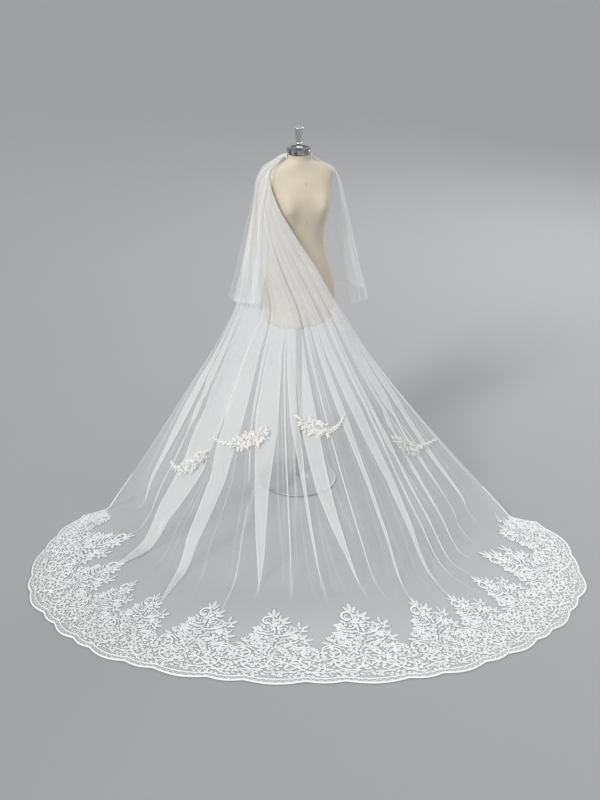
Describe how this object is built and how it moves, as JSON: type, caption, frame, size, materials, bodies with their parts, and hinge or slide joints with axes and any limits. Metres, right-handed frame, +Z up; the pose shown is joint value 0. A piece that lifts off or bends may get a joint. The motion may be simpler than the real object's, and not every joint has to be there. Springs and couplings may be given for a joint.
{
  "type": "bridal veil on dress form",
  "caption": "Two-tier sheer bridal veil with a corded lace hem and lace sprays, on a limbless dress form with a round stand.",
  "frame": {"origin": "centre of the stand's base on the floor", "axes": "+Z up, -Y towards the front where the train spreads, +X to the right of a viewer at the front"},
  "size_m": [2.3223, 1.7909, 1.6943],
  "materials": {
    "tulle": "sheer soft net",
    "lace": "corded embroidery",
    "form_cover": "plain linen",
    "chrome": "polished",
    "satin_metal": "satin"
  },
  "bodies": {
    "root": {"train_drape": "tulle", "train_left": "tulle", "train_front": "tulle", "train_right": "tulle", "short_tier": "tulle", "heading_band": "tulle", "lace_border": "lace", "lace_spray_1": "lace", "lace_spray_2": "lace", "lace_spray_3": "lace", "lace_spray_4": "lace", "form_torso": "form_cover", "form_neck_cap": "chrome", "form_finial": "satin_metal", "form_collar": "chrome", "stand_pole": "chrome", "stand_base": "chrome"}
  },
  "joints": []
}
